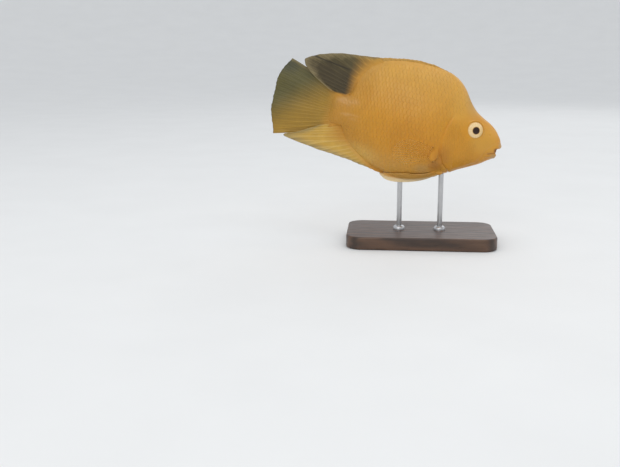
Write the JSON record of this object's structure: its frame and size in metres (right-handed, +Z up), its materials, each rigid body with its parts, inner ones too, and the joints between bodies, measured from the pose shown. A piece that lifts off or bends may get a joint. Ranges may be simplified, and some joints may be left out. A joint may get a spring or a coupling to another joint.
{
  "type": "blood parrot cichlid model",
  "caption": "Life-size still model of a deep-bodied orange aquarium fish, nose slightly down, with ridged fins, held by rods on a flat display base.",
  "frame": {"origin": "centre of the stand base's underside, on the surface that the model stands on", "axes": "+Z up, +X towards the fish's snout, +Y to its left side; the fish's own length is turned 13.2 degrees nose down about Y"},
  "size_m": [0.1802, 0.066, 0.1474],
  "materials": {
    "skin": "scaled golden orange skin with a soft wet sheen",
    "fin_gold": "gold membrane with paler rays",
    "fin_dark": "smoky olive-grey translucent membrane, gold at the base",
    "fin_olive": "olive-green translucent membrane, gold at the base",
    "fin_clear": "thin pale membrane, nearly clear",
    "eye": "cream iris round a dark pupil under a clear glossy dome",
    "stand_wood": "dark stained, satin",
    "stand_steel": "brushed"
  },
  "bodies": {
    "root": {"head": "skin", "lower_jaw": "skin", "gill_cover_left": "skin", "gill_cover_right": "skin", "trunk": "skin", "tail_stalk": "skin", "eye_left": "eye", "eye_right": "eye", "dorsal_fin_spiny": "fin_gold", "dorsal_fin_soft": "fin_dark", "anal_fin": "fin_gold", "tail_fin": "fin_olive", "pectoral_fin_left": "fin_clear", "pectoral_fin_right": "fin_clear", "pelvic_fin_left": "fin_clear", "pelvic_fin_right": "fin_clear", "stand_base": "stand_wood", "stand_rod_front": "stand_steel", "stand_rod_rear": "stand_steel"}
  },
  "joints": []
}
